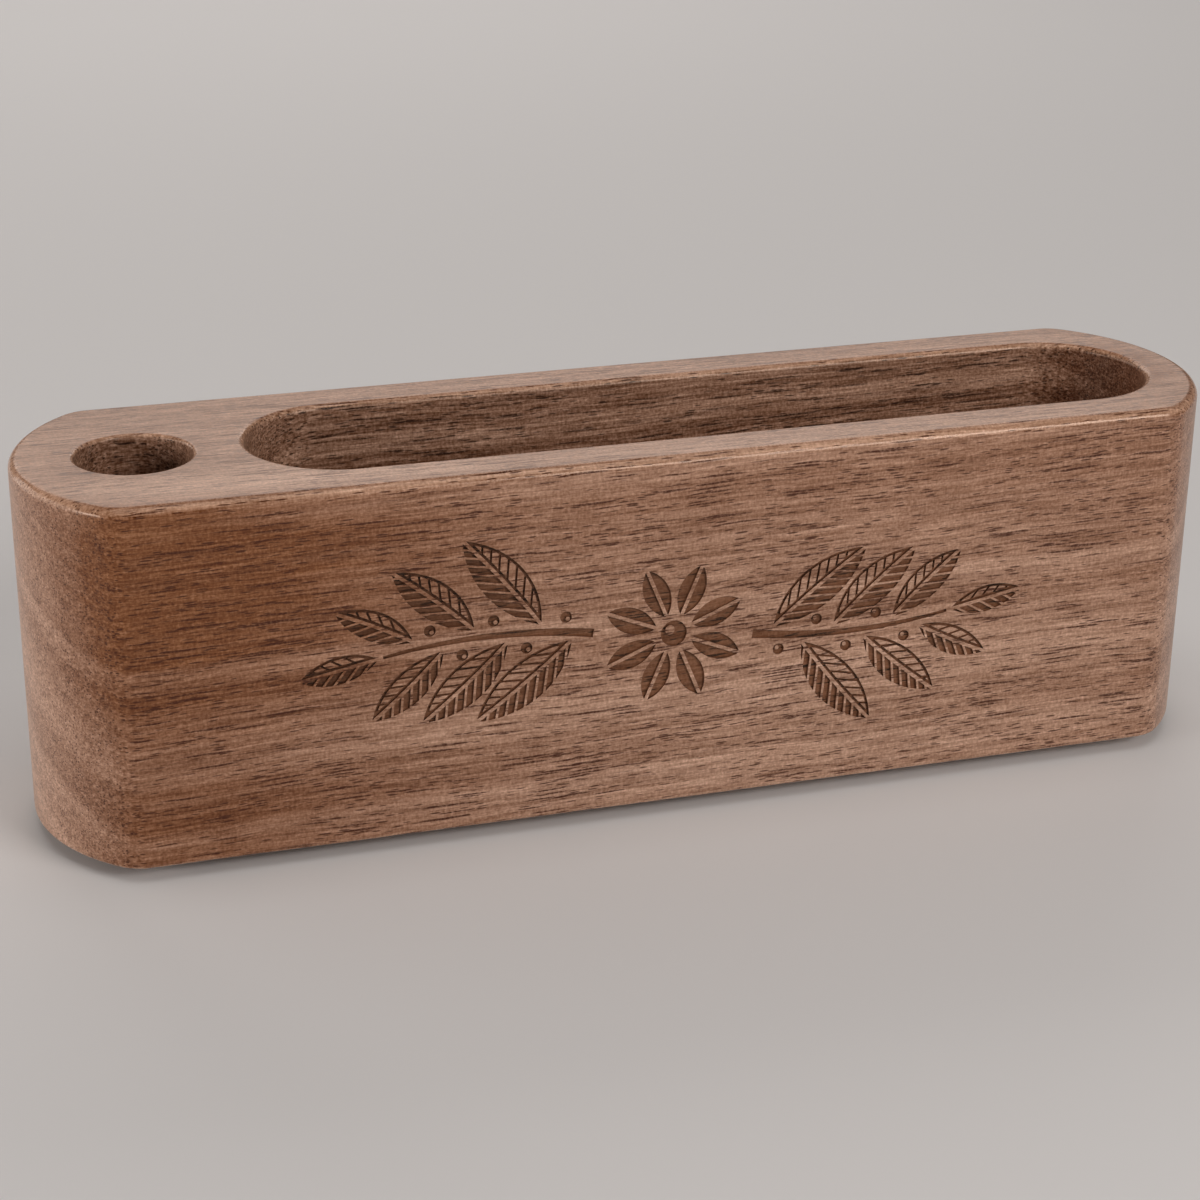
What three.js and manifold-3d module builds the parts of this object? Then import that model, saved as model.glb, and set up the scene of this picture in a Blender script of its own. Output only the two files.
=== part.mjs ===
// Desk holder for business cards and one pen, milled from a single block of walnut on four stick-on feet.
// Millimetres, +Z up. The origin is on the desk below the middle of the holder, +X runs along the block
// away from the pen hole, and the broad face that a visitor sees looks towards -Y.

import * as THREE from 'three';
import { mergeVertices } from 'three/addons/utils/BufferGeometryUtils.js';
import Module from 'manifold-3d';

// Card slot: a standard card is 88.9 mm wide, and the slot's round ends are half its width.
const cardWidth = 88.9;
const cardPlay = 2.1;
const slotWidth = 22.5;
const slotDepth = 32;
const slotRimRadius = 0.8;

// Pen hole
const penHoleDiameter = 13.5;
const penHoleFloor = 8.5;
const penHoleRimRadius = 0.5;

// Wood left around the slot and the hole
const slotFloor = 11.5;
const sideWall = 6.75;
const slotEndWall = 5.75;
const bridgeWall = 6;
const penHoleEndWall = 7.25;

// Outside of the block: each end bows out and meets the broad faces in a soft corner.
const endBow = 9.2;
const endCornerRadius = 5;
const topEdgeRadius = 1.2;
const bottomEdgeRadius = 0.5;

// Stick-on feet: a rubber button on a thin disc of adhesive
const footDiameter = 9.5;
const footThickness = 1.6;
const footEdgeRadius = 0.4;
const footSideInset = 5;
const footEndInset = 10.5;
const adhesiveThickness = 0.2;
const adhesiveMargin = 0.5;

// Facets
const endArcSteps = 20;
const cornerArcSteps = 5;
const slotArcSteps = 24;
const edgeSteps = 4;
const rimSteps = 3;
const holeSides = 40;
const footSides = 24;
const footEdgeSteps = 2;
const cutterOvershoot = 2;

// Sizes that follow from the ones above
const slotStraight = cardWidth + cardPlay;
const slotLength = slotStraight + slotWidth;
const blockLength = penHoleEndWall + penHoleDiameter + bridgeWall + slotLength + slotEndWall;
const blockWidth = slotWidth + 2 * sideWall;
const blockHeight = slotDepth + slotFloor;
const undersideZ = footThickness + adhesiveThickness;
const topZ = undersideZ + blockHeight;
const slotX = blockLength / 2 - slotEndWall - slotLength / 2;
const penHoleX = -blockLength / 2 + penHoleEndWall + penHoleDiameter / 2;

const walnut = new THREE.MeshStandardMaterial({ color: '#8d644c', roughness: 0.6, metalness: 0 });
const rubber = new THREE.MeshStandardMaterial({ color: '#26241f', roughness: 0.8, metalness: 0 });
const adhesive = new THREE.MeshStandardMaterial({ color: '#d9d3c3', roughness: 0.5, metalness: 0 });

const wasm = await Module();
wasm.setup();

function toSolid(geometry) {
  const bare = geometry.clone();
  bare.deleteAttribute('normal');
  bare.deleteAttribute('uv');
  const merged = mergeVertices(bare, 1e-4);
  return new wasm.Manifold(new wasm.Mesh({
    numProp: 3,
    vertProperties: new Float32Array(merged.attributes.position.array),
    triVerts: new Uint32Array(merged.index.array),
  }));
}

function toGeometry(solid) {
  const mesh = solid.getMesh();
  const geometry = new THREE.BufferGeometry();
  geometry.setAttribute('position', new THREE.BufferAttribute(mesh.vertProperties, 3));
  geometry.setIndex(new THREE.BufferAttribute(mesh.triVerts, 1));
  geometry.computeVertexNormals();
  return geometry;
}

function arc(x, y, radius, from, to, steps) {
  return new THREE.EllipseCurve(x, y, radius, radius, from, to, false).getPoints(steps);
}

// The points of several arcs in turn, with the point that two neighbours share kept once.
function chain(arcs) {
  const points = [];
  for (const point of arcs.flat()) {
    if (!points.length || points.at(-1).distanceTo(point) > 1e-6) points.push(point);
  }
  return points;
}

// Plan of the block, drawn inwards by inset. The end arc passes through the end of the block and, but
// for the soft corner, through the line where the bow meets the broad face.
function blockOutline(inset) {
  const halfWidth = blockWidth / 2;
  const endRadius = (halfWidth ** 2 + endBow ** 2) / (2 * endBow);
  const endX = blockLength / 2 - endRadius;
  const cornerY = halfWidth - endCornerRadius;
  const cornerX = endX + Math.sqrt((endRadius - endCornerRadius) ** 2 - cornerY ** 2);
  const turn = Math.atan2(cornerY, cornerX - endX);
  const quarter = Math.PI / 2;
  const half = Math.PI;
  const end = endRadius - inset;
  const corner = endCornerRadius - inset;
  return chain([
    arc(cornerX, -cornerY, corner, -quarter, -turn, cornerArcSteps),
    arc(endX, 0, end, -turn, turn, endArcSteps),
    arc(cornerX, cornerY, corner, turn, quarter, cornerArcSteps),
    arc(-cornerX, cornerY, corner, quarter, half - turn, cornerArcSteps),
    arc(-endX, 0, end, half - turn, half + turn, endArcSteps),
    arc(-cornerX, -cornerY, corner, half + turn, half + quarter, cornerArcSteps),
  ]);
}

// Plan of the card slot, drawn outwards by flare.
function slotOutline(flare) {
  const radius = slotWidth / 2 + flare;
  return chain([
    arc(slotX + slotStraight / 2, 0, radius, -Math.PI / 2, Math.PI / 2, slotArcSteps),
    arc(slotX - slotStraight / 2, 0, radius, Math.PI / 2, 1.5 * Math.PI, slotArcSteps),
  ]);
}

// A quarter round: how far it stands back from the wall, and how high, from its foot to its top.
function quarterRound(radius, steps) {
  return Array.from({ length: steps + 1 }, (_, step) => {
    const angle = (step / steps) * (Math.PI / 2);
    return { back: radius * (1 - Math.cos(angle)), up: radius * Math.sin(angle) };
  });
}

// A closed solid through level outlines of as many points each, listed from the lowest up.
function stack(levels) {
  const count = levels[0].outline.length;
  const positions = levels.flatMap(({ z, outline }) => outline.flatMap((point) => [point.x, point.y, z]));
  const index = [];
  for (let level = 0; level < levels.length - 1; level++) {
    for (let i = 0; i < count; i++) {
      const a = level * count + i;
      const b = level * count + ((i + 1) % count);
      index.push(a, b, b + count, a, b + count, a + count);
    }
  }
  const top = (levels.length - 1) * count;
  for (const [a, b, c] of THREE.ShapeUtils.triangulateShape(levels[0].outline, [])) {
    index.push(c, b, a, top + a, top + b, top + c);
  }
  const geometry = new THREE.BufferGeometry();
  geometry.setAttribute('position', new THREE.Float32BufferAttribute(positions, 3));
  geometry.setIndex(index);
  return geometry;
}

// A solid of revolution about the upright axis; its profile lists radius and height from the bottom up.
function turned(profile, sides) {
  const points = profile.map(([radius, height]) => new THREE.Vector2(radius, height));
  return new THREE.LatheGeometry(points, sides).rotateX(Math.PI / 2);
}

function blankBlock() {
  const below = quarterRound(bottomEdgeRadius, rimSteps).reverse()
    .map(({ back, up }) => ({ z: undersideZ + bottomEdgeRadius - up, outline: blockOutline(back) }));
  const above = quarterRound(topEdgeRadius, edgeSteps)
    .map(({ back, up }) => ({ z: topZ - topEdgeRadius + up, outline: blockOutline(back) }));
  return stack([...below, ...above]);
}

function slotCutter() {
  const rim = quarterRound(slotRimRadius, rimSteps)
    .map(({ back, up }) => ({ z: topZ - slotRimRadius + up, outline: slotOutline(back) }));
  return stack([
    { z: topZ - slotDepth, outline: slotOutline(0) },
    ...rim,
    { z: topZ + cutterOvershoot, outline: slotOutline(slotRimRadius) },
  ]);
}

function penHoleCutter() {
  const radius = penHoleDiameter / 2;
  const floorZ = undersideZ + penHoleFloor;
  const rim = quarterRound(penHoleRimRadius, rimSteps)
    .map(({ back, up }) => [radius + back, topZ - penHoleRimRadius + up]);
  const mouth = [radius + penHoleRimRadius, topZ + cutterOvershoot];
  const profile = [[0, floorZ], [radius, floorZ], ...rim, mouth, [0, topZ + cutterOvershoot]];
  return turned(profile, holeSides).translate(penHoleX, 0, 0);
}

function walnutBlock() {
  const block = toSolid(blankBlock())
    .subtract(toSolid(slotCutter()))
    .subtract(toSolid(penHoleCutter()));
  const mesh = new THREE.Mesh(toGeometry(block), walnut);
  mesh.name = 'walnut_block';
  return mesh;
}

// One foot with its adhesive, standing on the desk at its own origin.
function foot(place) {
  const radius = footDiameter / 2;
  const edge = quarterRound(footEdgeRadius, footEdgeSteps);
  const lower = edge.map(({ back, up }) => [radius - back, footEdgeRadius - up]).reverse();
  const upper = edge.map(({ back, up }) => [radius - back, footThickness - footEdgeRadius + up]);
  const button = new THREE.Mesh(turned([[0, 0], ...lower, ...upper, [0, footThickness]], footSides), rubber);
  button.name = `foot_${place}`;

  const discRadius = radius - adhesiveMargin;
  const disc = turned([[0, 0], [discRadius, 0], [discRadius, adhesiveThickness], [0, adhesiveThickness]], footSides);
  const pad = new THREE.Mesh(disc, adhesive);
  pad.name = `adhesive_${place}`;
  pad.position.z = footThickness;

  return new THREE.Group().add(button, pad);
}

function feet() {
  const x = blockLength / 2 - footEndInset - footDiameter / 2;
  const y = blockWidth / 2 - footSideInset - footDiameter / 2;
  const group = new THREE.Group();
  for (const [side, sideY] of [['front', -y], ['back', y]]) {
    for (const [end, endX] of [['left', -x], ['right', x]]) {
      const one = foot(`${side}_${end}`);
      one.position.set(endX, sideY, 0);
      group.add(one);
    }
  }
  return group;
}

const holder = new THREE.Group();
holder.add(walnutBlock(), feet());

export default holder;
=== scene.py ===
import math

import bmesh
import bpy
from mathutils import Matrix, Vector


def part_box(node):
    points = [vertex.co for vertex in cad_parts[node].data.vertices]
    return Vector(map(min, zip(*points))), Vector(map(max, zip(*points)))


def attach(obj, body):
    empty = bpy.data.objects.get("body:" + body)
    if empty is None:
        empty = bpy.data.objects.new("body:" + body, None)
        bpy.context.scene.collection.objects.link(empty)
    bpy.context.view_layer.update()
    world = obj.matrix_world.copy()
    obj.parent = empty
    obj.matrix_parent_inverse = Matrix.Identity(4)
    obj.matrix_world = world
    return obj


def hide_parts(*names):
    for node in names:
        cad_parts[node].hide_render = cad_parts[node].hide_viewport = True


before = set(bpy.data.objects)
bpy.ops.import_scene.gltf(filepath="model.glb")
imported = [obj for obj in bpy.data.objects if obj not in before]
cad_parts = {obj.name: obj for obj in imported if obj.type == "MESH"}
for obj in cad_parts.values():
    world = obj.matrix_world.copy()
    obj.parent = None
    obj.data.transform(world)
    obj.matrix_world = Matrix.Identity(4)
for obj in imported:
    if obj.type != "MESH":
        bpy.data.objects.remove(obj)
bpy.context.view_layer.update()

# Lengths are in millimetres, and a finished piece is scaled to metres.
MM = 0.001
WELD = 0.0005

# The camera of the photograph, in the frame of the part. Its clip distances are in metres.
CAMERA_PLACE = (-94.28, -288.41, 146.33)
CAMERA_YAW = math.radians(17.491)
CAMERA_PITCH = math.radians(22.518)
CAMERA_ROLL = math.radians(0.542)
CAMERA_LENS = 80.1
SENSOR_WIDTH = 36
CLIP_START = 0.01
CLIP_END = 20

# The walnut block: its overall size comes from the frame, and these are its own details.
END_BOW = 9.2
END_CORNER_RADIUS = 5
TOP_EDGE_RADIUS = 1.2
BOTTOM_EDGE_RADIUS = 0.5
SLOT_WIDTH = 22.5
SLOT_LENGTH = 113.5
SLOT_DEPTH = 32
SLOT_RIM_RADIUS = 0.8
SLOT_END_WALL = 5.75
PEN_HOLE_DIAMETER = 13.5
PEN_HOLE_DEPTH = 35
PEN_HOLE_RIM_RADIUS = 0.5
PEN_HOLE_END_WALL = 7.25

# Flat strips beside the rounded edges, so that the flats are shaded as flats.
OUTER_STRIP = 3
WELL_STRIP = 2

# The ornament engraved in the front: a rosette between two leafy branches, one of them turned round
ENGRAVED_DEPTH = 0.3
BRANCH_START = (9.8, -1.2)
BRANCH_HEADING = math.radians(-10)
BRANCH_RADIUS = 70
BRANCH_LENGTH = 25
STEM_WIDTH = 1.1
STEM_TIP_SHARE = 0.35
LEAF_GAP = 0.95
LEAF_SLIMNESS = 0.36
LEAF_CURL = 0.07
MIDRIB = 0.42
LEAF_LINE = 0.34
VEIN = 0.26
VEIN_SPACING = 1.5
VEIN_LEAN = math.radians(42)
# Side of the stem, place along it, length and angle to the stem of each leaf
LEAVES = (
    (1, 2.5, 14.5, 50), (1, 10.3, 13.5, 47), (1, 18, 11.5, 42),
    (-1, 6.4, 14.5, 50), (-1, 14.2, 12.5, 46), (-1, 21.3, 10, 38), (0, 25.5, 9.4, 0),
)
# Side of the stem and place along it of each berry
BERRIES = ((1, 8), (1, 15.8), (-1, 3.6), (-1, 12), (-1, 19.3))
PETALS = 8
PETAL_LENGTH = 6.6
PETAL_WIDTH = 3.2
PETAL_START = 2.3
EYE_RADIUS = 1.6
BERRY_RADIUS = 0.7
BERRY_GAP = 1.85
# A berry's glint: its size and its offset, as shares of the berry's radius
GLINT_SHARE = 0.36
GLINT_OFFSET = (-0.3, 0.3, 0)

# Marks on the faces of a mesh in the making. The last two are slots of the block's materials.
INSIDE_LEAF = 1
ENGRAVED = 1
MILLED = 2

# A face counts as part of the front when it looks this squarely along Y.
FRONT_FACING = 0.999

# How finely the curves are divided
LEAF_STEPS = 26
STEM_STEPS = 30
BERRY_STEPS = 32
END_STEPS = 48
CORNER_STEPS = 16
WELL_END_STEPS = 72
EDGE_SEGMENTS = 10
RIM_SEGMENTS = 8
SHARP_ANGLE = math.radians(30)


def make_camera():
    camera = bpy.data.objects.new("camera", bpy.data.cameras.new("camera"))
    turn = Matrix.Rotation(-CAMERA_YAW, 4, "Z") @ Matrix.Rotation(math.pi / 2 - CAMERA_PITCH, 4, "X")
    camera.matrix_world = (
        Matrix.Translation(Vector(CAMERA_PLACE) * MM) @ turn @ Matrix.Rotation(CAMERA_ROLL, 4, "Z")
    )
    camera.data.lens = CAMERA_LENS
    camera.data.sensor_width = SENSOR_WIDTH
    camera.data.clip_start = CLIP_START
    camera.data.clip_end = CLIP_END
    bpy.context.scene.collection.objects.link(camera)
    bpy.context.scene.camera = camera


make_camera()


# Materials

def colour(code):
    """Linear RGBA of an sRGB hex colour."""
    parts = [int(code[i:i + 2], 16) / 255 for i in (1, 3, 5)]
    return [c / 12.92 if c <= 0.04045 else ((c + 0.055) / 1.055) ** 2.4 for c in parts] + [1]


def add(tree, kind, inputs=None, **settings):
    """Adds a node: settings are its own, and inputs are values or links by socket name or number."""
    node = tree.nodes.new(kind)
    for name, value in settings.items():
        setattr(node, name, value)
    for socket, value in (inputs or {}).items():
        if isinstance(value, bpy.types.NodeSocket):
            tree.links.new(value, node.inputs[socket])
        else:
            node.inputs[socket].default_value = value
    return node


def new_material(name):
    material = bpy.data.materials.new(name)
    material.use_nodes = True
    material.node_tree.nodes.clear()
    return material, material.node_tree


# Walnut's figure, in millimetres. X runs along the grain, and the layers are cylinders round the pith.
PITH = (0, 95, -170)
GRAIN_TILT = math.radians(1.2)
LAYER = 5
# How far the grain wanders across itself, and over what length and width
WANDER = 1.8
WANDER_LENGTH = 34
WANDER_WIDTH = 14
# Soft haze and narrow streaks along the grain
HAZE_LENGTH = 24
HAZE_WIDTH = 1.1
STREAK_LENGTH = 10
STREAK_WIDTH = 0.3
# Vessels cut open along the grain: long pores, and the short ticks of those that only graze the surface.
# Real ones are up to 0.2 mm wide, and these are drawn up to twice as wide, so that they show.
PORE_LENGTH = 9
PORE_SPACING = 0.38
TICK_LENGTH = 2.2
TICK_SPACING = 0.27
# Real fibres and rays are 0.02 to 0.05 mm across, too fine to show, and are drawn some ten times coarser.
FIBRE_LENGTH = 0.38
FIBRE_WIDTH = 0.24
RAY_LENGTH = 0.27
RAY_WIDTH = 0.75
# Broad dark and pale patches, partly the wood's own tone and partly painted shade and light: middle, reach
# along each axis, and how much they add to the dark tone
TONE_AND_PAINTED_SHADE_PATCHES = (
    # Darker on the left of the front and paler on the top above it: partly the wood's own tone, partly
    # painted shade and light
    ((-62, -19, 40), (48, 5, 30), 1.2),
    ((-41, -12, 50), (30, 10, 9), -0.85),
    ((-58, -19, 0), (50, 5, 22), 0.7),
    # Painted shade on the front left corner
    ((-69, -16, 42), (8, 6, 32), 0.6),
    # Paler towards the lower middle and right of the front: partly the wood's own tone, partly painted
    # light
    ((20, -18, 8), (74, 30, 34), -0.85),
    # Painted light on the left end
    ((-79, 2, 14), (16, 24, 46), -1.3),
    # Painted shade on the right end wall inside the card slot, which also darkens the top beside it
    ((62.5, 0, 36), (10.4, 12, 24), 2.6),
    # Painted shade down the pen hole, which also darkens the top round it
    ((-59, 0, 34), (14, 12, 18), 1),
)

# A vessel's smallest and largest radius, in cells, the share of it that is fully dark, and how softly
# vessels thin out where there are few of them
VESSEL_SMALL = 0.26
VESSEL_LARGE = 0.46
VESSEL_CORE = 0.6
VESSEL_FADE = 0.25
# Vessels gather where haze and layers are dark: the share of the cells that hold one, from pale to dark
HAZE_IN_TONE = 0.6
PALE_TONE = 0.38
DARK_TONE = 0.62
PALE_VESSELS = 0.35
DARK_VESSELS = 1.05
# How far each part of the figure lifts or lowers the shade of the surface
STREAK_SHADE = -0.42
FIBRE_SHADE = 0.23
RAY_SHADE = 0.15
LAYER_SHADE = -0.12

# How the figure colours the wood
LIGHTEST_TONE = -0.2
DARKEST_TONE = 1.2
HAZE_START = 0.48
HAZE_FULL = 0.72
HAZE_SHARE = 0.5
# Share of the paler colour on the rounded edges: partly wear, partly painted light
WORN_AND_LIT_EDGE_SHARE = 0.5
TICK_SHARE = 0.9
# Fibres that stand across a pore break it up, from the first value to the second.
BREAK_START = 0.4
BREAK_FULL = 0.65
BROKEN_PORE = 0.6
# Pores close up where the surface cuts across the grain.
END_GRAIN_LOSS = 0.75
# An exponent that turns linear colour into roughly what the eye sees
EYE_GAMMA = 2.4
# Relief of the pores and fibres, in millimetres, and its strength
PORE_RELIEF = 0.04
PORE_BUMP = 0.25
# Rays shine more and less than the fibres, and hands polish the rounded edges: both as roughness.
RAY_LOW = 0.3
RAY_HIGH = 0.7
RAY_GLOSS = 0.04
EDGE_GLOSS = 0.2
# The soft bloom of cut fibres
WOOD_SHEEN = 0.1


def along_grain(tree, place, length, width):
    """Coordinates in which one unit is length along the grain and width across it."""
    return add(tree, "ShaderNodeMapping", {"Vector": place, "Scale": (1 / length, 1 / width, 1 / width)},
               vector_type="POINT").outputs["Vector"]


def tone_with_painted_shade(tree, place, tone):
    """Adds the broad dark and pale patches to the tone: partly the wood's own tone, partly painted shade
    and light.
    """
    for middle, reach, share in TONE_AND_PAINTED_SHADE_PATCHES:
        around = add(tree, "ShaderNodeMapping", {"Vector": place, "Location": middle, "Scale": reach},
                     vector_type="TEXTURE")
        patch = add(tree, "ShaderNodeTexGradient", {"Vector": around.outputs[0]},
                    gradient_type="SPHERICAL").outputs["Fac"]
        tone = add(tree, "ShaderNodeMath", {0: patch, 1: share, 2: tone},
                   operation="MULTIPLY_ADD").outputs[0]
    return tone


def vessels(tree, wood, length, spacing, share):
    """Dark vessels cut open: 1 inside each and 0 between them. A share of the cells hold one."""
    cells = add(tree, "ShaderNodeTexVoronoi", {
        "Vector": along_grain(tree, wood, length, spacing), "Scale": 1, "Randomness": 1})
    chance = add(tree, "ShaderNodeSeparateXYZ", {0: cells.outputs["Color"]})
    size = add(tree, "ShaderNodeMapRange", {
        "Value": chance.outputs["X"], "To Min": VESSEL_SMALL, "To Max": VESSEL_LARGE}).outputs[0]
    core = add(tree, "ShaderNodeMath", {0: size, 1: VESSEL_CORE}, operation="MULTIPLY").outputs[0]
    shape = add(tree, "ShaderNodeMapRange", {
        "Value": cells.outputs["Distance"], "From Min": size, "From Max": core},
        interpolation_type="SMOOTHSTEP").outputs[0]
    depth = add(tree, "ShaderNodeMath", {0: share, 1: chance.outputs["Y"]},
                operation="SUBTRACT").outputs[0]
    open_share = add(tree, "ShaderNodeMapRange", {"Value": depth, "From Max": VESSEL_FADE}).outputs[0]
    return add(tree, "ShaderNodeMath", {0: shape, 1: open_share}, operation="MULTIPLY").outputs[0]


def walnut_figure(tree):
    """The figure of the solid wood: tone of the layers and broad patches, partly painted shade and light,
    haze, vessels, fibres, rays and their relief.
    """
    solid = add(tree, "ShaderNodeTexCoord").outputs["Object"]
    place = add(tree, "ShaderNodeMapping", {
        "Vector": solid, "Scale": (1 / MM, 1 / MM, 1 / MM),
        "Rotation": (0, GRAIN_TILT, 0)}).outputs["Vector"]

    drift = add(tree, "ShaderNodeTexNoise", {
        "Vector": along_grain(tree, place, WANDER_LENGTH, WANDER_WIDTH), "Scale": 1, "Detail": 4,
        "Roughness": 0.55})
    both_ways = add(tree, "ShaderNodeVectorMath", {0: drift.outputs["Color"], 1: (0.5, 0.5, 0.5)},
                    operation="SUBTRACT")
    shift = add(tree, "ShaderNodeVectorMath", {0: both_ways.outputs[0], 1: (0, WANDER, WANDER)},
                operation="MULTIPLY")
    wood = add(tree, "ShaderNodeVectorMath", {0: place, 1: shift.outputs[0]}, operation="ADD").outputs[0]

    from_pith = add(tree, "ShaderNodeVectorMath", {0: wood, 1: PITH}, operation="SUBTRACT")
    across = add(tree, "ShaderNodeVectorMath", {0: from_pith.outputs[0], 1: (0, 1, 1)},
                 operation="MULTIPLY")
    radius = add(tree, "ShaderNodeVectorMath", {0: across.outputs[0]}, operation="LENGTH").outputs["Value"]
    layer = add(tree, "ShaderNodeMath", {0: radius, 1: LAYER}, operation="DIVIDE").outputs[0]
    layers = add(tree, "ShaderNodeTexNoise", {"W": layer, "Scale": 1, "Detail": 3, "Roughness": 0.6},
                 noise_dimensions="1D").outputs[0]
    haze = add(tree, "ShaderNodeTexNoise", {
        "Vector": along_grain(tree, wood, HAZE_LENGTH, HAZE_WIDTH), "Scale": 1, "Detail": 4,
        "Roughness": 0.62}).outputs[0]
    tone = add(tree, "ShaderNodeMix", {"Factor": HAZE_IN_TONE, "A": layers, "B": haze}).outputs[0]
    share = add(tree, "ShaderNodeMapRange", {
        "Value": tone, "From Min": PALE_TONE, "From Max": DARK_TONE, "To Min": PALE_VESSELS,
        "To Max": DARK_VESSELS}).outputs[0]
    pores = vessels(tree, wood, PORE_LENGTH, PORE_SPACING, share)
    ticks = vessels(tree, wood, TICK_LENGTH, TICK_SPACING, share)
    streaks = add(tree, "ShaderNodeTexNoise", {
        "Vector": along_grain(tree, wood, STREAK_LENGTH, STREAK_WIDTH), "Scale": 1, "Detail": 2,
        "Roughness": 0.7}).outputs[0]
    fibres = add(tree, "ShaderNodeTexNoise", {
        "Vector": along_grain(tree, wood, FIBRE_LENGTH, FIBRE_WIDTH), "Scale": 1, "Detail": 1,
        "Roughness": 0.6}).outputs[0]
    rays = add(tree, "ShaderNodeTexNoise", {
        "Vector": along_grain(tree, wood, RAY_LENGTH, RAY_WIDTH), "Scale": 1, "Detail": 1,
        "Roughness": 0.5}).outputs[0]
    relief = 0
    parts = ((streaks, STREAK_SHADE), (fibres, FIBRE_SHADE), (rays, RAY_SHADE), (layers, LAYER_SHADE))
    for part, shade in parts:
        swing = add(tree, "ShaderNodeMath", {0: part, 1: 0.5}, operation="SUBTRACT").outputs[0]
        relief = add(tree, "ShaderNodeMath", {0: swing, 1: shade, 2: relief},
                     operation="MULTIPLY_ADD").outputs[0]
    return tone_with_painted_shade(tree, place, layers), haze, pores, ticks, fibres, rays, relief


def facing(tree, axis):
    """1 where the surface faces along an axis, and 0 where it stands along it."""
    normal = add(tree, "ShaderNodeTexCoord").outputs["Normal"]
    share = add(tree, "ShaderNodeSeparateXYZ", {0: normal}).outputs[axis]
    return add(tree, "ShaderNodeMath", {0: share, 1: share}, operation="MULTIPLY").outputs[0]


def round_over(tree):
    """1 in the middle of the rounded edges and 0 on the flats. The product is at most a quarter."""
    square = facing(tree, "Z")
    rest = add(tree, "ShaderNodeMath", {0: 1, 1: square}, operation="SUBTRACT").outputs[0]
    both = add(tree, "ShaderNodeMath", {0: square, 1: rest}, operation="MULTIPLY").outputs[0]
    return add(tree, "ShaderNodeMath", {0: both, 1: 4}, operation="MULTIPLY").outputs[0]


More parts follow.
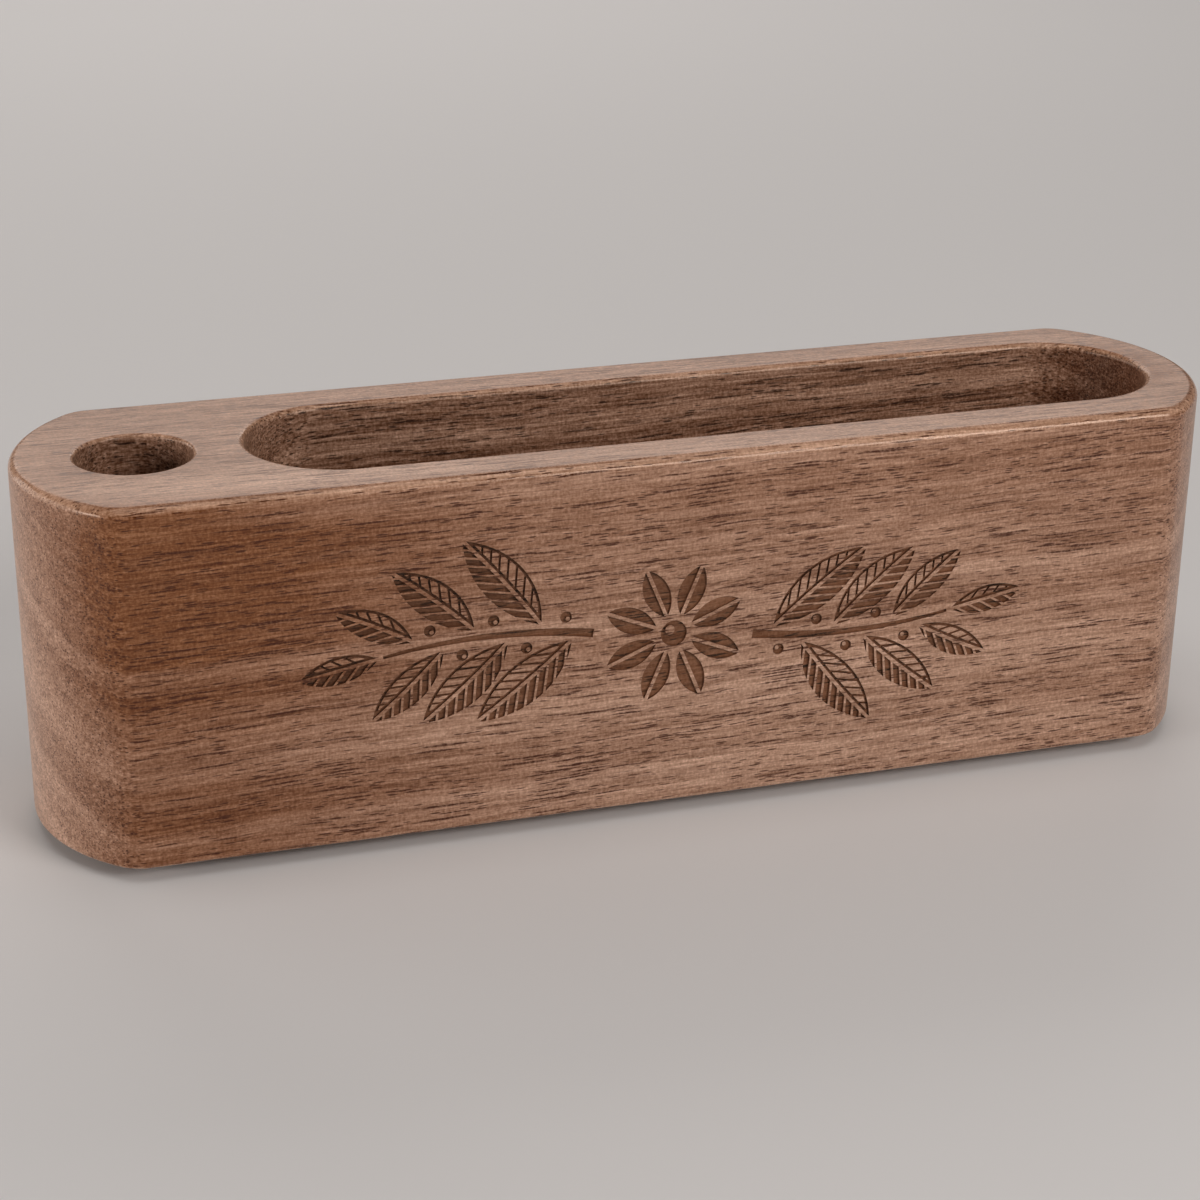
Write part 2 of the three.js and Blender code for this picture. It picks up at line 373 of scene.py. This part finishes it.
def walnut(name, light, dark, shade, pore, worn_and_lit, nap, roughness):
    """Walnut in the colours of one finish, its grain along X. Nap is how strongly its relief shows."""
    material, tree = new_material(name)
    tone, haze, pores, ticks, fibres, rays, relief = walnut_figure(tree)
    # The tone holds painted shade and light from the broad patches, besides the wood's own tone.
    spread = add(tree, "ShaderNodeMapRange", {
        "Value": tone, "From Min": LIGHTEST_TONE, "From Max": DARKEST_TONE}).outputs[0]
    ground = add(tree, "ShaderNodeMix", {"Factor": spread, "A": colour(light), "B": colour(dark)},
                 data_type="RGBA")
    haze_share = add(tree, "ShaderNodeMapRange", {
        "Value": haze, "From Min": HAZE_START, "From Max": HAZE_FULL, "To Max": HAZE_SHARE}).outputs[0]
    hazed = add(tree, "ShaderNodeMix", {"Factor": haze_share, "A": ground.outputs[2], "B": colour(shade)},
                data_type="RGBA")
    # Rounded edges take a paler colour: partly wear, partly painted light.
    edge = round_over(tree)
    worn_and_lit_share = add(tree, "ShaderNodeMath", {0: edge, 1: WORN_AND_LIT_EDGE_SHARE}, operation="MULTIPLY").outputs[0]
    worn_and_lit_edges = add(tree, "ShaderNodeMix", {"Factor": worn_and_lit_share, "A": hazed.outputs[2], "B": colour(worn_and_lit)},
                data_type="RGBA")
    # The relief is added as the eye sees it, so that it moves red, green and blue alike.
    seen = add(tree, "ShaderNodeGamma", {"Color": worn_and_lit_edges.outputs[2], "Gamma": 1 / EYE_GAMMA})
    step = add(tree, "ShaderNodeMath", {0: relief, 1: nap}, operation="MULTIPLY").outputs[0]
    raised = add(tree, "ShaderNodeVectorMath", {0: seen.outputs[0], 1: step}, operation="ADD")
    rippled = add(tree, "ShaderNodeGamma", {"Color": raised.outputs[0], "Gamma": EYE_GAMMA})
    tick_share = add(tree, "ShaderNodeMath", {0: ticks, 1: TICK_SHARE}, operation="MULTIPLY").outputs[0]
    ticked = add(tree, "ShaderNodeMix", {"Factor": tick_share, "A": rippled.outputs[0], "B": colour(pore)},
                 data_type="RGBA")
    broken = add(tree, "ShaderNodeMapRange", {
        "Value": fibres, "From Min": BREAK_START, "From Max": BREAK_FULL, "To Min": 1,
        "To Max": BROKEN_PORE}).outputs[0]
    crossed = add(tree, "ShaderNodeMath", {0: pores, 1: broken}, operation="MULTIPLY").outputs[0]
    closed = add(tree, "ShaderNodeMath", {0: facing(tree, "X"), 1: -END_GRAIN_LOSS, 2: 1},
                 operation="MULTIPLY_ADD").outputs[0]
    pore_share = add(tree, "ShaderNodeMath", {0: crossed, 1: closed}, operation="MULTIPLY").outputs[0]
    wood = add(tree, "ShaderNodeMix", {"Factor": pore_share, "A": ticked.outputs[2], "B": colour(pore)},
               data_type="RGBA")
    hollow = add(tree, "ShaderNodeMath", {0: pores, 1: fibres}, operation="SUBTRACT").outputs[0]
    bump = add(tree, "ShaderNodeBump", {
        "Height": hollow, "Strength": PORE_BUMP, "Distance": PORE_RELIEF * MM}, invert=True)
    dull = add(tree, "ShaderNodeMapRange", {
        "Value": rays, "From Min": RAY_LOW, "From Max": RAY_HIGH, "To Min": roughness - RAY_GLOSS,
        "To Max": roughness + RAY_GLOSS}).outputs[0]
    gloss = add(tree, "ShaderNodeMath", {0: edge, 1: -EDGE_GLOSS, 2: dull},
                operation="MULTIPLY_ADD").outputs[0]
    surface = add(tree, "ShaderNodeBsdfPrincipled", {
        "Base Color": wood.outputs[2], "Roughness": gloss, "IOR": 1.5, "Normal": bump.outputs[0],
        "Specular Tint": colour("#f9ebdf"), "Sheen Weight": WOOD_SHEEN, "Sheen Roughness": 0.4,
        "Sheen Tint": colour("#f4dcc8")})
    add(tree, "ShaderNodeOutputMaterial", {"Surface": surface.outputs[0]})
    return material


# Feet, in millimetres. Real mould grit is about 0.03 mm across, and is drawn coarser, so that it shows.
RUBBER_GRIT = 0.35
RUBBER_GRIT_DEPTH = 0.05
RUBBER_BUMP = 0.4
RUBBER_BLOOM = 3
RUBBER_SMOOTHEST = 0.68
RUBBER_ROUGHEST = 0.88
FILM_MOTTLE = 1.4
FILM_SMOOTHEST = 0.35
FILM_ROUGHEST = 0.6


def in_millimetres(tree):
    solid = add(tree, "ShaderNodeTexCoord").outputs["Object"]
    return add(tree, "ShaderNodeMapping", {
        "Vector": solid, "Scale": (1 / MM, 1 / MM, 1 / MM)}).outputs["Vector"]


def rubber():
    """Moulded rubber is matt and nearly black, with the grit of the mould and a faint grey bloom."""
    material, tree = new_material("moulded rubber, matt black")
    place = in_millimetres(tree)
    grit = add(tree, "ShaderNodeTexNoise", {
        "Vector": place, "Scale": 1 / RUBBER_GRIT, "Detail": 2}).outputs[0]
    bloom = add(tree, "ShaderNodeTexNoise", {
        "Vector": place, "Scale": 1 / RUBBER_BLOOM, "Detail": 3}).outputs[0]
    tone = add(tree, "ShaderNodeMix", {"Factor": bloom, "A": colour("#1d1b18"), "B": colour("#34312c")},
               data_type="RGBA")
    dull = add(tree, "ShaderNodeMapRange", {
        "Value": grit, "To Min": RUBBER_SMOOTHEST, "To Max": RUBBER_ROUGHEST}).outputs[0]
    bump = add(tree, "ShaderNodeBump", {
        "Height": grit, "Strength": RUBBER_BUMP, "Distance": RUBBER_GRIT_DEPTH * MM})
    surface = add(tree, "ShaderNodeBsdfPrincipled", {
        "Base Color": tone.outputs[2], "Roughness": dull, "IOR": 1.52, "Normal": bump.outputs[0]})
    add(tree, "ShaderNodeOutputMaterial", {"Surface": surface.outputs[0]})
    return material


def adhesive():
    """Double-sided acrylic film is off-white and a little glossy, mottled where it has wetted the wood."""
    material, tree = new_material("double-sided acrylic film, off-white")
    place = in_millimetres(tree)
    mottle = add(tree, "ShaderNodeTexNoise", {
        "Vector": place, "Scale": 1 / FILM_MOTTLE, "Detail": 4}).outputs[0]
    tone = add(tree, "ShaderNodeMix", {"Factor": mottle, "A": colour("#cdc5b2"), "B": colour("#e2ddcf")},
               data_type="RGBA")
    gloss = add(tree, "ShaderNodeMapRange", {
        "Value": mottle, "To Min": FILM_SMOOTHEST, "To Max": FILM_ROUGHEST}).outputs[0]
    surface = add(tree, "ShaderNodeBsdfPrincipled", {
        "Base Color": tone.outputs[2], "Roughness": gloss, "IOR": 1.47})
    add(tree, "ShaderNodeOutputMaterial", {"Surface": surface.outputs[0]})
    return material


def finish_feet():
    finishes = {"foot": rubber(), "adhesive": adhesive()}
    for name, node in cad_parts.items():
        kind = name.split("_")[0]
        if kind in finishes:
            node.material_slots[0].material = finishes[kind]


# Shapes

def line_to(bm, start, x, y):
    """Draws a straight edge on the level of a vertex and gives its far end."""
    end = bmesh.ops.extrude_vert_indiv(bm, verts=[start])["verts"][0]
    end.co = (x, y, start.co.z)
    return end


def arc_to(bm, start, centre, angle, steps):
    """Sweeps a vertex about an upright axis and gives the far end of the arc."""
    swept = bmesh.ops.spin(bm, geom=[start], cent=(*centre, start.co.z), axis=(0, 0, 1), angle=angle,
                           steps=steps)
    return next(v for v in swept["geom_last"] if isinstance(v, bmesh.types.BMVert))


def mirror_outline(bm, *axes):
    for axis in axes:
        bmesh.ops.mirror(bm, geom=bm.verts[:] + bm.edges[:], matrix=Matrix.Identity(4), axis=axis,
                         merge_dist=WELD)


def fill_outline(bm):
    return bmesh.ops.edgeloop_fill(bm, edges=bm.edges[:])["faces"][0]


def stadium(bm, length, width):
    """A face with two straight sides and half-round ends, centred on the origin."""
    radius = width / 2
    bend = length / 2 - radius
    side = bm.verts.new((0, -radius, 0))
    if bend > 0:
        side = line_to(bm, side, bend, -radius)
    arc_to(bm, side, (bend, 0), math.pi / 2, WELL_END_STEPS // 2)
    mirror_outline(bm, "X", "Y")
    return fill_outline(bm)


def pour(source, target):
    """Adds the geometry of one bmesh to another and frees the first."""
    mesh = bpy.data.meshes.new("poured")
    source.to_mesh(mesh)
    source.free()
    target.from_mesh(mesh)
    bpy.data.meshes.remove(mesh)


def round_edges(bm, edges, radius, segments):
    bmesh.ops.bevel(bm, geom=edges, offset=radius, offset_type="OFFSET", segments=segments, profile=0.5,
                    affect="EDGES", clamp_overlap=False, material=-1)


def push(bm, face, distance):
    """Extrudes a face along Z, without leaving a copy behind, and gives the face that moved."""
    moved = bmesh.ops.extrude_face_region(bm, geom=[face])["geom"]
    bmesh.ops.delete(bm, geom=[face], context="FACES_ONLY")
    verts = [v for v in moved if isinstance(v, bmesh.types.BMVert)]
    bmesh.ops.translate(bm, verts=verts, vec=(0, 0, distance))
    return next(f for f in moved if isinstance(f, bmesh.types.BMFace))


def fill_flat(bm, normal):
    """Closes the one flat opening that is left, with its islands kept as holes."""
    edges = [e for e in bm.edges if e.is_boundary]
    bmesh.ops.triangle_fill(bm, use_beauty=True, use_dissolve=False, edges=edges, normal=normal)


def well(length, width, depth, rim_radius, place):
    """A round-ended well in the top face, with its rounded rim and the flat strip round it."""
    bm = bmesh.new()
    mouth = stadium(bm, length + 2 * WELL_STRIP, width + 2 * WELL_STRIP)
    bmesh.ops.inset_region(bm, faces=[mouth], thickness=WELL_STRIP, use_even_offset=True,
                           use_boundary=True)
    rim = list(mouth.edges)
    outside = set(bm.faces)
    push(bm, mouth, -depth)
    for face in bm.faces:
        if face not in outside:
            face.material_index = MILLED
    round_edges(bm, rim, rim_radius, RIM_SEGMENTS)
    bmesh.ops.translate(bm, verts=bm.verts[:], vec=place)
    return bm


def block_shell(length, width, bottom, top):
    """The outside of the block, open over the middle of its top face."""
    bm = bmesh.new()
    half_width = width / 2
    end_radius = (half_width ** 2 + END_BOW ** 2) / (2 * END_BOW)
    end_x = length / 2 - end_radius
    corner_y = half_width - END_CORNER_RADIUS
    corner_x = end_x + math.sqrt((end_radius - END_CORNER_RADIUS) ** 2 - corner_y ** 2)
    turn = math.atan2(corner_y, corner_x - end_x)

    middle = bm.verts.new((0, -half_width, top))
    corner = line_to(bm, middle, corner_x, -half_width)
    end = arc_to(bm, corner, (corner_x, -corner_y), math.pi / 2 - turn, CORNER_STEPS)
    arc_to(bm, end, (end_x, 0), turn, END_STEPS // 2)
    mirror_outline(bm, "Y", "X")
    middles = [v for v in bm.verts if abs(v.co.x) < WELD]
    bmesh.ops.dissolve_verts(bm, verts=middles)

    lid = fill_outline(bm)
    upper_edge = list(lid.edges)
    side = bmesh.ops.extrude_face_region(bm, geom=[lid])["geom"]
    base = next(f for f in side if isinstance(f, bmesh.types.BMFace))
    bmesh.ops.translate(bm, verts=base.verts[:], vec=(0, 0, bottom - top))
    lower_edge = list(base.edges)
    for flat in (lid, base):
        bmesh.ops.inset_region(bm, faces=[flat], thickness=OUTER_STRIP, use_even_offset=True,
                               use_boundary=True)
    bmesh.ops.delete(bm, geom=[lid], context="FACES_ONLY")
    round_edges(bm, upper_edge, TOP_EDGE_RADIUS, EDGE_SEGMENTS)
    round_edges(bm, lower_edge, BOTTOM_EDGE_RADIUS, RIM_SEGMENTS)
    return bm


def leaf_edge(bm, length, rise, inset):
    """Draws the outline of half a leaf: an arc over a straight line beside the midrib. Gives its edges."""
    radius = (length ** 2 / 4 + rise ** 2) / (2 * rise)
    centre = (length / 2, rise - radius)
    level = MIDRIB / 2 + inset
    reach = math.acos((level - centre[1]) / (radius - inset))
    before = set(bm.edges)
    start = bm.verts.new((centre[0] - (radius - inset) * math.sin(reach), level, 0))
    end = arc_to(bm, start, centre, -2 * reach, LEAF_STEPS)
    bm.edges.new((start, end))
    return [e for e in bm.edges if e not in before]


def half_leaf(length, width, shaded, veined):
    """Half a leaf as flat faces: shaded, with its veins left out, or outlined, with its veins drawn."""
    bm = bmesh.new()
    rise = width / 2
    outside = leaf_edge(bm, length, rise, 0)
    if shaded:
        inner = bmesh.ops.edgeloop_fill(bm, edges=outside)["faces"]
    else:
        inside = leaf_edge(bm, length, rise, LEAF_LINE)
        bmesh.ops.triangle_fill(bm, use_beauty=True, use_dissolve=False, edges=outside + inside)
        inner = bmesh.ops.edgeloop_fill(bm, edges=inside)["faces"]
    for face in inner:
        face.material_index = INSIDE_LEAF
    if veined:
        cut_veins(bm, length)
    blank = [f for f in bm.faces if f.material_index == INSIDE_LEAF and on_vein(f, veined) == shaded]
    bmesh.ops.delete(bm, geom=blank, context="FACES")
    return bm


def cut_veins(bm, length):
    """Cuts the faces along both sides of each vein."""
    half = VEIN / 2 / math.sin(VEIN_LEAN)
    for vein in range(int(length / VEIN_SPACING)):
        for side in (-half, half):
            bmesh.ops.bisect_plane(
                bm, geom=bm.verts[:] + bm.edges[:] + bm.faces[:],
                plane_co=((vein + 0.5) * VEIN_SPACING + side, 0, 0),
                plane_no=(math.sin(VEIN_LEAN), -math.cos(VEIN_LEAN), 0))


def on_vein(face, veined):
    centre = face.calc_center_median()
    foot = (centre.x - centre.y / math.tan(VEIN_LEAN)) / VEIN_SPACING
    return veined and abs(foot % 1 - 0.5) * VEIN_SPACING < VEIN / 2 / math.sin(VEIN_LEAN)


def leaf(length, width, place, heading, upper_shaded, lower_shaded, veined=True, curl=0.0):
    """A leaf whose stalk end is at place and whose tip lies that way, lying in the XY plane."""
    bm = half_leaf(length, width, lower_shaded, veined)
    bmesh.ops.scale(bm, vec=(1, -1, 1), verts=bm.verts[:])
    pour(half_leaf(length, width, upper_shaded, veined), bm)
    for vert in bm.verts:
        vert.co.y += curl * vert.co.x ** 2 / length
    bmesh.ops.transform(bm, matrix=Matrix.Translation((*place, 0)) @ Matrix.Rotation(heading, 4, "Z"),
                        verts=bm.verts[:])
    return bm


def on_branch(along, aside):
    """A point beside the stem, and the way the stem heads there."""
    heading = BRANCH_HEADING + along / BRANCH_RADIUS
    x = BRANCH_START[0] + BRANCH_RADIUS * (math.sin(heading) - math.sin(BRANCH_HEADING))
    y = BRANCH_START[1] - BRANCH_RADIUS * (math.cos(heading) - math.cos(BRANCH_HEADING))
    return (x - aside * math.sin(heading), y + aside * math.cos(heading)), heading


def stem():
    """The stem as a flat strip that thins towards its tip."""
    bm = bmesh.new()
    centre = on_branch(0, BRANCH_RADIUS)[0]
    sides = [bm.verts.new((*on_branch(0, aside)[0], 0)) for aside in (-STEM_WIDTH / 2, STEM_WIDTH / 2)]
    first = bm.edges.new(sides)
    bmesh.ops.spin(bm, geom=sides + [first], cent=(*centre, 0), axis=(0, 0, 1),
                   angle=BRANCH_LENGTH / BRANCH_RADIUS, steps=STEM_STEPS)
    for vert in bm.verts:
        spoke = vert.co - Vector((*centre, 0))
        turned = math.atan2(spoke.y, spoke.x) + math.pi / 2 - BRANCH_HEADING
        share = 1 - (1 - STEM_TIP_SHARE) * turned * BRANCH_RADIUS / BRANCH_LENGTH
        distance = BRANCH_RADIUS + (spoke.length - BRANCH_RADIUS) * share
        vert.co = Vector((*centre, 0)) + spoke.normalized() * distance
    return bm


def berry(radius, place):
    """A round berry with a small glint left out of it."""
    bm = bmesh.new()
    glint = Vector((*place, 0)) + Vector(GLINT_OFFSET) * radius
    for size, middle in ((radius, (*place, 0)), (radius * GLINT_SHARE, glint)):
        bmesh.ops.create_circle(bm, segments=BERRY_STEPS, radius=size, matrix=Matrix.Translation(middle))
    bmesh.ops.triangle_fill(bm, use_beauty=True, use_dissolve=False, edges=bm.edges[:])
    return bm


def branch(turned):
    """A leafy branch with berries, whose leaves are shaded below the midrib, also once it is turned."""
    bm = stem()
    for side, along, length, angle in LEAVES:
        place, heading = on_branch(along, side * LEAF_GAP)
        heading += side * math.radians(angle)
        pour(leaf(length, length * LEAF_SLIMNESS, place, heading, upper_shaded=turned,
                  lower_shaded=not turned, curl=-side * LEAF_CURL), bm)
    for side, along in BERRIES:
        pour(berry(BERRY_RADIUS, on_branch(along, side * BERRY_GAP)[0]), bm)
    if turned:
        bmesh.ops.rotate(bm, verts=bm.verts[:], matrix=Matrix.Rotation(math.pi, 3, "Z"))
    return bm


def rosette():
    bm = berry(EYE_RADIUS, (0, 0))
    for petal in range(PETALS):
        heading = 2 * math.pi * (petal + 0.5) / PETALS
        place = (PETAL_START * math.cos(heading), PETAL_START * math.sin(heading))
        pour(leaf(PETAL_LENGTH, PETAL_WIDTH, place, heading, upper_shaded=True, lower_shaded=True,
                  veined=False), bm)
    return bm


def ornament():
    """The engraved pockets of the ornament, open towards the viewer, standing in the XZ plane."""
    bm = rosette()
    pour(branch(turned=False), bm)
    pour(branch(turned=True), bm)
    bmesh.ops.rotate(bm, verts=bm.verts[:], matrix=Matrix.Rotation(math.pi / 2, 3, "X"))
    faces = bm.faces[:]
    floor = bmesh.ops.extrude_face_region(bm, geom=faces)["geom"]
    bmesh.ops.delete(bm, geom=faces, context="FACES")
    sunk = [v for v in floor if isinstance(v, bmesh.types.BMVert)]
    bmesh.ops.translate(bm, verts=sunk, vec=(0, ENGRAVED_DEPTH, 0))
    for face in bm.faces:
        face.material_index = ENGRAVED
    return bm


def engrave(bm, middle):
    """Opens the front face and closes it again round the pockets of the ornament."""
    bm.normal_update()
    level = middle.y + WELD
    fronts = [f for f in bm.faces if abs(f.normal.y) > FRONT_FACING and f.calc_center_median().y < level]
    front = max(fronts, key=lambda f: f.calc_area())
    bmesh.ops.delete(bm, geom=[front], context="FACES_ONLY")
    pockets = ornament()
    bmesh.ops.translate(pockets, verts=pockets.verts[:], vec=middle)
    pour(pockets, bm)
    fill_flat(bm, (0, -1, 0))


def finish_piece(name, bm, body, materials):
    """Turns a bmesh in millimetres into a piece in metres that rides on its body."""
    bmesh.ops.recalc_face_normals(bm, faces=bm.faces[:])
    bmesh.ops.scale(bm, vec=(MM, MM, MM), verts=bm.verts[:])
    for face in bm.faces:
        face.smooth = True
    for edge in bm.edges:
        edge.smooth = edge.is_manifold and edge.calc_face_angle() < SHARP_ANGLE
    mesh = bpy.data.meshes.new(name)
    bm.to_mesh(mesh)
    bm.free()
    for material in materials:
        mesh.materials.append(material)
    piece = bpy.data.objects.new(name, mesh)
    bpy.context.scene.collection.objects.link(piece)
    shading = piece.modifiers.new("flats stay flat", "WEIGHTED_NORMAL")
    shading.keep_sharp = True
    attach(piece, body)
    return piece


def make_block():
    low, high = (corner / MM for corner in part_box("walnut_block"))
    length = high.x - low.x
    bm = block_shell(length, high.y - low.y, low.z, high.z)
    slot_x = high.x - SLOT_END_WALL - SLOT_LENGTH / 2
    pen_hole_x = low.x + PEN_HOLE_END_WALL + PEN_HOLE_DIAMETER / 2
    pour(well(SLOT_LENGTH, SLOT_WIDTH, SLOT_DEPTH, SLOT_RIM_RADIUS, (slot_x, 0, high.z)), bm)
    pour(well(PEN_HOLE_DIAMETER, PEN_HOLE_DIAMETER, PEN_HOLE_DEPTH, PEN_HOLE_RIM_RADIUS,
              (pen_hole_x, 0, high.z)), bm)
    fill_flat(bm, (0, 0, 1))
    engrave(bm, Vector((0, low.y, (low.z + high.z) / 2)))
    # Sanded and oiled wood has a satin gleam, warm depth, crisp dark pores and shinier edges, which are
    # paler partly from wear and partly from painted light.
    oiled = walnut("oiled walnut, sanded fine", light="#bd9983", dark="#835230", shade="#6e442a",
                   pore="#421600", worn_and_lit="#cba68c", nap=1.2, roughness=0.32)
    # A laser burns the wood to a dull dark brown, in which the grain still shows.
    burnt = walnut("laser-engraved walnut", light="#875c41", dark="#56331d", shade="#4a2f21",
                   pore="#1f0f06", worn_and_lit="#5f3d28", nap=0.7, roughness=0.6)
    # A cutter lifts the fibres, so that unsanded wood looks darker, coarser and less glossy.
    milled = walnut("walnut as the cutter left it", light="#b8957e", dark="#6e4a36", shade="#5c3f30",
                    pore="#260f05", worn_and_lit="#c9a388", nap=1.7, roughness=0.4)
    piece = finish_piece("milled_walnut_block", bm, "root", [oiled, burnt, milled])
    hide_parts("walnut_block")


make_block()
finish_feet()


# Floor and light

# Name, azimuth and elevation in degrees, distance and size in millimetres, and power in watts
LIGHTS = (
    ("back softbox", 170, 30, 800, (800, 400), 1.78),
    ("front strip", 30, 28, 600, (300, 180), 1.5),
    ("top softbox", 0, 80, 1200, (900, 900), 3.5),
    ("left back softbox", -120, 12, 900, (900, 500), 2.4),
    ("corner lamp", -78, 11, 700, (260, 120), 1.3),
)
LIGHT_COLOUR = "#fff2e9"
LIGHT_AIM = (0, 0, 20)
WORLD_STRENGTH = 0.074
# Half the side of the floor, in metres
FLOOR_REACH = 3


def make_floor():
    """Matt painted board gives a pale even ground, with soft shadows and no gleam."""
    bm = bmesh.new()
    bmesh.ops.create_grid(bm, x_segments=1, y_segments=1, size=FLOOR_REACH)
    mesh = bpy.data.meshes.new("floor")
    bm.to_mesh(mesh)
    bm.free()
    material, tree = new_material("matt white painted board")
    surface = add(tree, "ShaderNodeBsdfPrincipled", {
        "Base Color": colour("#e0e6eb"), "Roughness": 0.9, "IOR": 1.45})
    add(tree, "ShaderNodeOutputMaterial", {"Surface": surface.outputs[0]})
    mesh.materials.append(material)
    floor = bpy.data.objects.new("floor", mesh)
    bpy.context.scene.collection.objects.link(floor)


def make_light(name, azimuth, elevation, distance, size, power):
    """A rectangular soft light that faces the holder. Azimuth 0 is in front, and 90 on the right."""
    light = bpy.data.lights.new(name, "AREA")
    light.shape = "RECTANGLE"
    light.size, light.size_y = Vector(size) * MM
    light.energy = power
    light.color = colour(LIGHT_COLOUR)[:3]
    lamp = bpy.data.objects.new(name, light)
    round_z = Matrix.Rotation(math.radians(azimuth), 3, "Z")
    ray = round_z @ Matrix.Rotation(-math.radians(elevation), 3, "X") @ Vector((0, -distance, 0))
    lamp.location = (Vector(LIGHT_AIM) + ray) * MM
    lamp.rotation_euler = ray.to_track_quat("Z", "Y").to_euler()
    lamp.visible_camera = False
    bpy.context.scene.collection.objects.link(lamp)


def make_world():
    world = bpy.data.worlds.new("pale room")
    world.use_nodes = True
    background = world.node_tree.nodes["Background"]
    background.inputs["Color"].default_value = colour(LIGHT_COLOUR)
    background.inputs["Strength"].default_value = WORLD_STRENGTH
    bpy.context.scene.world = world


make_floor()
make_world()
for light in LIGHTS:
    make_light(*light)
bpy.context.scene.view_settings.view_transform = "Standard"
